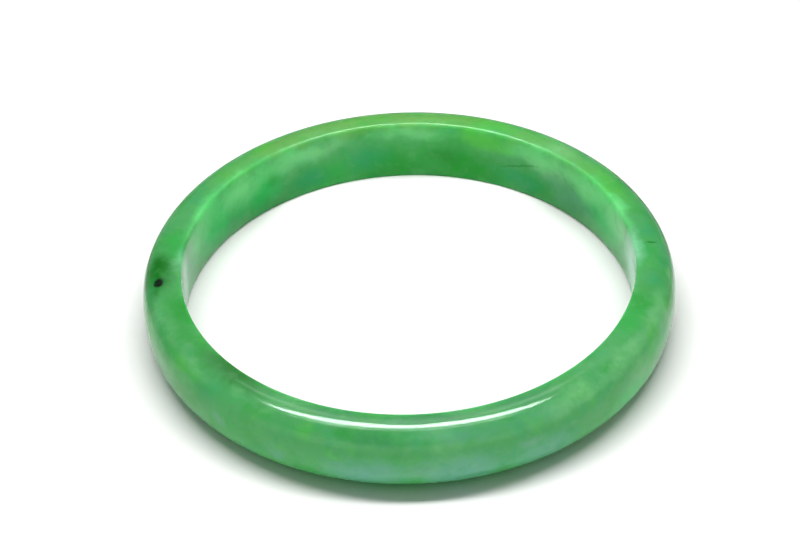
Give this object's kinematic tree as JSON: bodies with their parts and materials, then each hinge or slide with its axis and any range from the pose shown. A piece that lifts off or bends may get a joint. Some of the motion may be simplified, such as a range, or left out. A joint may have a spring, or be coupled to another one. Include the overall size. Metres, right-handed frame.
{
  "type": "bangle bracelet",
  "caption": "Closed jade bangle: one polished stone ring with a flat bore wall and a domed outer face, slipped over the hand.",
  "frame": {"origin": "on the ring's axis, in the plane of the lower rim that it rests on", "axes": "+Z along the ring's axis, up from the lower rim to the upper one; X and Y span the ring"},
  "size_m": [0.0672, 0.0672, 0.0088],
  "materials": {
    "jade": "polished"
  },
  "bodies": {
    "root": {"jade_ring": "jade"}
  },
  "joints": []
}
